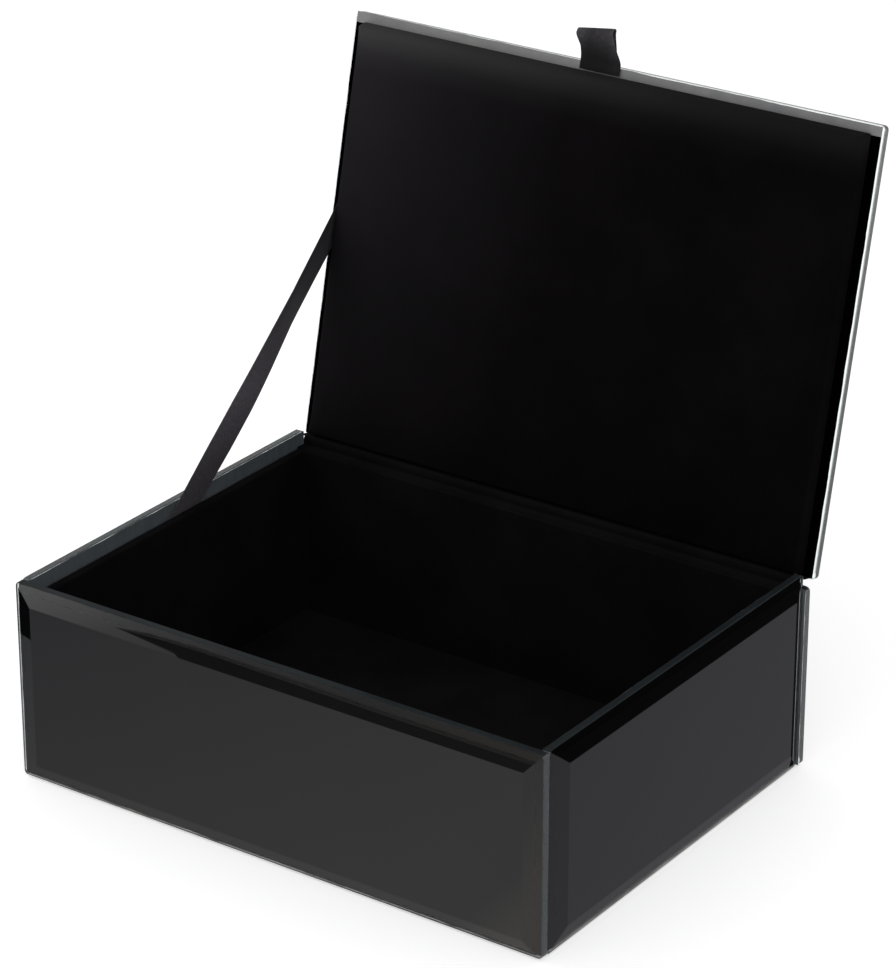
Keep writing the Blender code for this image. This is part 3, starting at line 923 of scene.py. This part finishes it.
FLOOR_LEVEL = -0.1 * MM
FLOOR_GLOW = 0.5
SURROUNDINGS = 0.68           # strength of the white light from all round
CARD_LEVELS = (0.1 * MM, 0.3 * MM, 0.6 * MM, 0.9 * MM)   # a higher card covers a lower one


def build_camera():
    """Long lens from the front right, looking down."""
    data = bpy.data.cameras.new("camera")
    data.lens = CAMERA_LENS
    data.sensor_width = 36
    data.shift_x, data.shift_y = CAMERA_SHIFT
    data.clip_start = 0.01
    camera = bpy.data.objects.new("camera", data)
    bpy.context.scene.collection.objects.link(camera)
    camera.location = CAMERA_PLACE
    camera.rotation_euler = (math.radians(90 - CAMERA_ELEVATION), 0, math.radians(CAMERA_AZIMUTH))
    bpy.context.scene.camera = camera


def area_light(name, place, target, size, power):
    """Soft square lamp aimed at a point."""
    data = bpy.data.lights.new(name, "AREA")
    data.shape = "SQUARE"
    data.size = size
    data.energy = power
    lamp = bpy.data.objects.new(name, data)
    bpy.context.scene.collection.objects.link(lamp)
    lamp.location = place
    direction = Vector(target) - Vector(place)
    lamp.rotation_euler = direction.to_track_quat("-Z", "Y").to_euler()


def card_material(name, stops, strength=1.0):
    """Material of a card that only reflections see: a ramp of lights along X."""
    made, shader, tree = shader_material(name)
    settings(shader, Base_Color=(0, 0, 0), Roughness=1.0, Specular_IOR_Level=0.0, Emission_Strength=strength)
    separate = tree.nodes.new("ShaderNodeSeparateXYZ")
    tree.links.new(coordinates(tree, source="Generated"), separate.inputs[0])
    tree.links.new(ramp(tree, separate.outputs["X"], stops), shader.inputs["Emission Color"])
    return made


def reflected_card(name, points, made):
    """Studio card outside the picture: it shows in the glass and nowhere else."""
    bm = bmesh.new()
    bm.faces.new([bm.verts.new(point) for point in points])
    card = new_piece(name, bm, made)
    card.visible_camera = False
    card.visible_diffuse = False
    card.visible_transmission = False
    card.visible_shadow = False


def card_on_floor(name, low, high, level, made):
    """Rectangular card lying over the floor."""
    points = [(low[0], low[1]), (high[0], low[1]), (high[0], high[1]), (low[0], high[1])]
    reflected_card(name, [(x, y, level) for x, y in points], made)


def build_cards():
    """Grey, dark and light cards round the box, for the panels and their bevels to reflect."""
    dark = card_material("dark_card", [(0.0, 0.018), (1.0, 0.022)])
    front = card_material("front_card", [(0.1, (0.41, 0.41, 0.44)), (0.8, (0.69, 0.68, 0.68)),
                                         (0.87, (0.69, 0.68, 0.68)), (0.94, (0.96, 0.92, 0.89))])
    right = card_material("right_card", [(0.0, (0.36, 0.36, 0.39)), (1.0, (0.33, 0.33, 0.36))])
    bright = card_material("light_card", [(0.06, 0.95), (0.26, 0.5), (0.42, 0.34), (0.66, 0.28),
                                          (1.0, (0.33, 0.3, 0.28))], 1.6)
    middle = card_material("middle_card", [(0.0, (0.3, 0.3, 0.3)), (1.0, (0.29, 0.275, 0.265))])
    deep = card_material("deep_card", [(0.0, 0.1), (1.0, 0.14)])
    grey_floor = card_material("grey_floor", [(0.0, 0.5), (1.0, 0.5)])
    lowest, low, high, highest = CARD_LEVELS
    card_on_floor("grey_floor", (-0.5, -0.26), (0.5, 0.5), lowest, grey_floor)
    card_on_floor("front_card", (-0.218, -0.2), (0.108, -0.0765), low, front)
    card_on_floor("right_card", (0.1012, -0.1), (0.2, 0.27), low, right)
    card_on_floor("far_right_card", (0.2, 0.05), (0.229, 0.26), high, dark)
    card_on_floor("left_card", (-0.222, -0.15), (-0.1785, -0.1265), high, dark)
    card_on_floor("light_card", (-0.28, -0.305), (-0.015, -0.262), low, bright)
    rear = [(0.1005, 0.069), (0.11, 0.092), (0.119, 0.12), (0.119, 0.203), (0.1005, 0.203)]
    shade = [(-0.212, -0.28), (-0.2, -0.286), (-0.18, -0.2885), (-0.135, -0.288), (-0.095, -0.2862),
             (-0.015, -0.2855), (-0.015, -0.27), (-0.17, -0.27), (-0.19, -0.275)]
    lens = [(-0.207, -0.279), (-0.19, -0.2822), (-0.17, -0.2832), (-0.135, -0.282), (-0.095, -0.2803),
            (-0.015, -0.2795), (-0.015, -0.262), (-0.165, -0.262), (-0.178, -0.2725)]
    for name, outline, level, made in (("rear_corner_card", rear, high, dark),
                                       ("front_middle_card", shade, high, middle),
                                       ("front_deep_card", lens, highest, deep)):
        reflected_card(name, [(x, y, level) for x, y in outline], made)


def build_stage():
    """White floor and white surroundings."""
    scene = bpy.context.scene
    scene.view_settings.view_transform = "Standard"
    bm = bmesh.new()
    bmesh.ops.create_grid(bm, x_segments=1, y_segments=1, size=4)
    made, shader, _ = shader_material("pale_floor")
    settings(shader, Base_Color=(0.85, 0.85, 0.85), Roughness=0.9, Specular_IOR_Level=0.1,
             Emission_Color=(1, 1, 1), Emission_Strength=FLOOR_GLOW)
    floor = new_piece("floor", bm, made)
    floor.location.z = FLOOR_LEVEL
    world = bpy.data.worlds.new("surroundings")
    world.use_nodes = True
    background = world.node_tree.nodes["Background"]
    background.inputs["Color"].default_value = (1, 1, 1, 1)
    background.inputs["Strength"].default_value = SURROUNDINGS
    scene.world = world
    area_light("key", place=(0.35, -0.6, 0.9), target=(0, 0, 0.05), size=0.5, power=0.8)
    area_light("lid_light", place=(-0.3, -0.1, 0.35), target=(-0.08, 0.1, 0.19), size=0.15, power=0.15)
    build_cards()


def main():
    """Every piece with its material, then the stage."""
    build_camera()
    clear = clear_glass()
    gloss = black_coat("black_gloss", (0.0005, 0.0005, 0.0006), (0.0011, 0.0011, 0.0012),
                       Roughness=0.0, IOR=1.52)
    paint = black_coat("black_paint", (0.0004, 0.0004, 0.0005), (0.0008, 0.0008, 0.0009),
                       Roughness=0.7, Specular_IOR_Level=0.0)
    # Ground glass at the edges; the green-blue tint is the glass's own. The top edges' copy is painted nearly
    # black and the right edges' copy darker, as painted shade; the left wall's top edge takes the darker side
    # copy, and the lid's edges take the pale one
    pale = ground_glass("ground_glass", (0.84, 0.91, 0.92), (0.92, 0.96, 0.96))
    top_edge_painted_shade = ground_glass("ground_top_painted_shade", (0.015, 0.019, 0.021), (0.022, 0.027, 0.0295), 0.2)
    side = ground_glass("ground_side_painted_shade", (0.43, 0.53, 0.57), (0.52, 0.61, 0.64))
    finishes_and_edge_shades = {node: (clear, pale, gloss, top_edge_painted_shade, side) for node in WALLS}
    finishes_and_edge_shades["left_glass"] = (clear, pale, gloss, side, side)
    finishes_and_edge_shades["lid_glass"] = (clear, pale, gloss, pale, pale)
    lid_coat = grey_backing("lid_coat", (0.19, 0.193, 0.2), (0.26, 0.255, 0.25))
    wall_coat = grey_backing("wall_coat", (0.08, 0.092, 0.102), (0.112, 0.127, 0.139))
    build_glass(finishes_and_edge_shades, paint, lid_coat, wall_coat)
    pile = velvet("black_velvet", (0.0046, 0.0041, 0.0044), 0.015)
    build_wall_lining(pile)
    build_floor_lining(pile)
    # The pad's corner towards which its velvet gets painted sheen
    painted_sheen_corner = OPENED @ closed_box("lid_cover")[0]
    build_pad(velvet("pad_velvet", (0.0021, 0.0018, 0.002), 0.02, painted_sheen_corner), foam_cells())
    build_hinge_cloth(pile)
    # The stay and the tab are one satin ribbon: the stay's colours are painted lighter and the tab's darker, as
    # painted light and shade
    stay_colours_painted_lighter = (0.075, 0.069, 0.083), (0.188, 0.174, 0.199)
    tab_colours_painted_darker = (0.05, 0.0465, 0.055), (0.13, 0.121, 0.137)
    build_stay(satin("satin_stay", *stay_colours_painted_lighter, 0.3, [(0.0, 1.0), (1.0, 1.0)], STAY_PAINTED_SHADING_UP))
    build_tab(satin("satin_tab", *tab_colours_painted_darker, 0.1, TAB_PAINTED_SHADING, TAB_PAINTED_SHADING_UP))
    hidden = {"board": board_grain(), "felt": felt_fibres()}
    for part in frame["record"]["subparts"]:
        if part["material_slot"] in hidden:
            mesh = frame["nodes"][part["node"]].data
            mesh.materials.clear()
            mesh.materials.append(hidden[part["material_slot"]])
    build_stage()


main()
